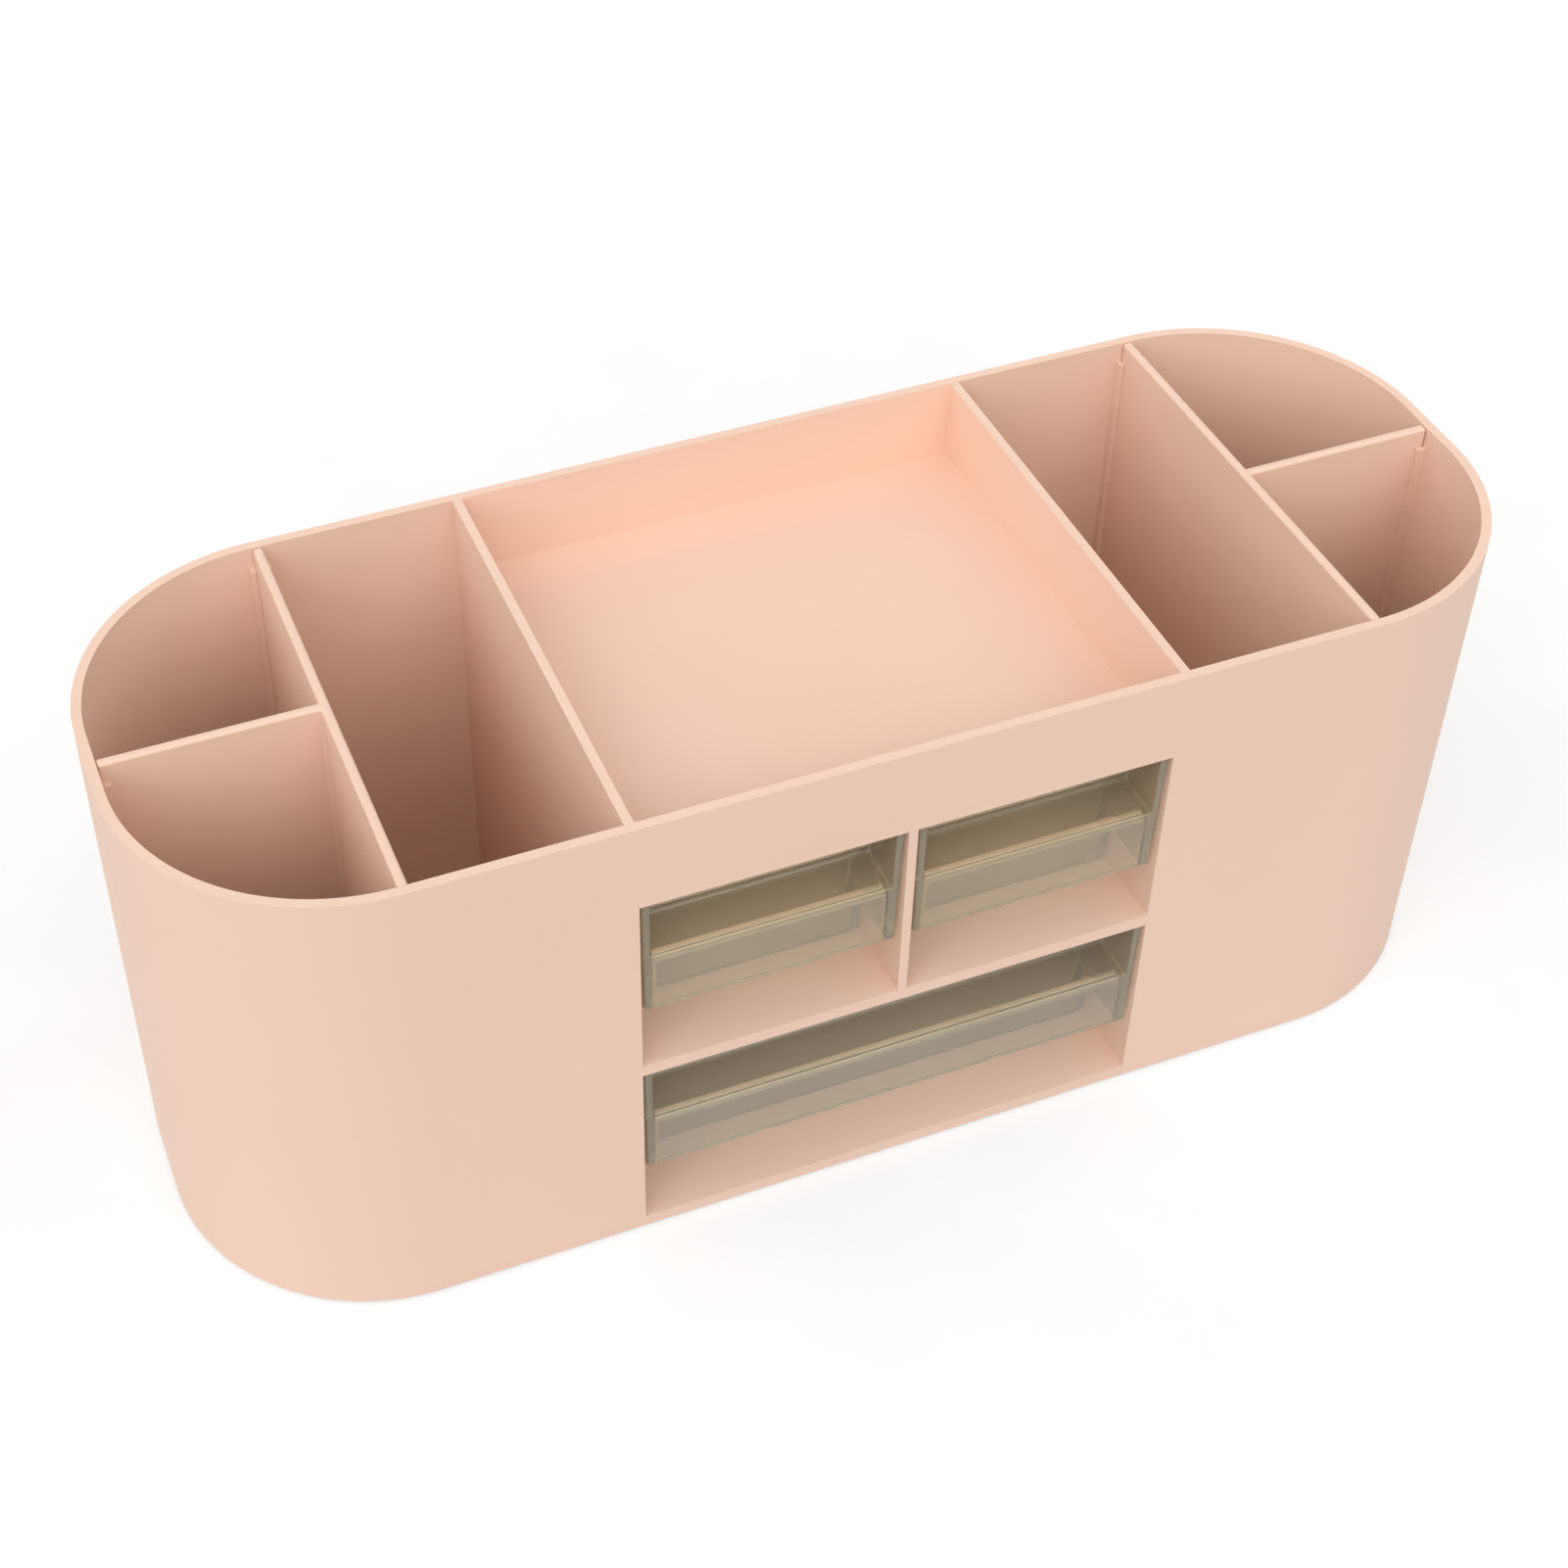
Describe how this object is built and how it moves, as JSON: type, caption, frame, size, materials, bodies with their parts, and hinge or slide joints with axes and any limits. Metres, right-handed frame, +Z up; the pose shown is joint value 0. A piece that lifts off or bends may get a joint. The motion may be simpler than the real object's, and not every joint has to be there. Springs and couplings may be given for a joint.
{
  "type": "desk organizer with drawers",
  "caption": "Long round-ended desk organizer with pen compartments, removable dividers, a top tray and smoke-clear drawers in the front.",
  "frame": {"origin": "middle of the footprint, on the desk under the pads", "axes": "+X along the length, -Y towards the drawer front, +Z up"},
  "size_m": [0.3, 0.11, 0.1208],
  "materials": {
    "body_plastic": "matte peach-pink moulding",
    "smoke_plastic": "clear smoke-grey moulding, glossy",
    "pad_rubber": "soft grey non-slip pad"
  },
  "bodies": {
    "organizer": {"outer_shell": "body_plastic", "base_floor": "body_plastic", "left_cabinet_wall": "body_plastic", "right_cabinet_wall": "body_plastic", "tray_floor": "body_plastic", "drawer_shelf": "body_plastic", "drawer_post": "body_plastic", "foot_pad_front_left": "pad_rubber", "foot_pad_front_right": "pad_rubber", "foot_pad_back_left": "pad_rubber", "foot_pad_back_right": "pad_rubber"},
    "left_divider": {"left_divider": "body_plastic"},
    "right_divider": {"right_divider": "body_plastic"},
    "upper_left_drawer": {"upper_left_drawer": "smoke_plastic"},
    "upper_right_drawer": {"upper_right_drawer": "smoke_plastic"},
    "lower_drawer": {"lower_drawer": "smoke_plastic"}
  },
  "joints": [
    {"name": "upper_left_drawer_slide", "type": "slide", "parent": "organizer", "child": "upper_left_drawer", "axis": [0, -1, 0], "range_m": [0, 0.085]},
    {"name": "upper_right_drawer_slide", "type": "slide", "parent": "organizer", "child": "upper_right_drawer", "axis": [0, -1, 0], "range_m": [0, 0.085]},
    {"name": "lower_drawer_slide", "type": "slide", "parent": "organizer", "child": "lower_drawer", "axis": [0, -1, 0], "range_m": [0, 0.085]},
    {"name": "left_divider_lift", "type": "slide", "parent": "organizer", "child": "left_divider", "axis": [0, 0, 1], "range_m": [0, 0.125]},
    {"name": "right_divider_lift", "type": "slide", "parent": "organizer", "child": "right_divider", "axis": [0, 0, 1], "range_m": [0, 0.125]}
  ]
}
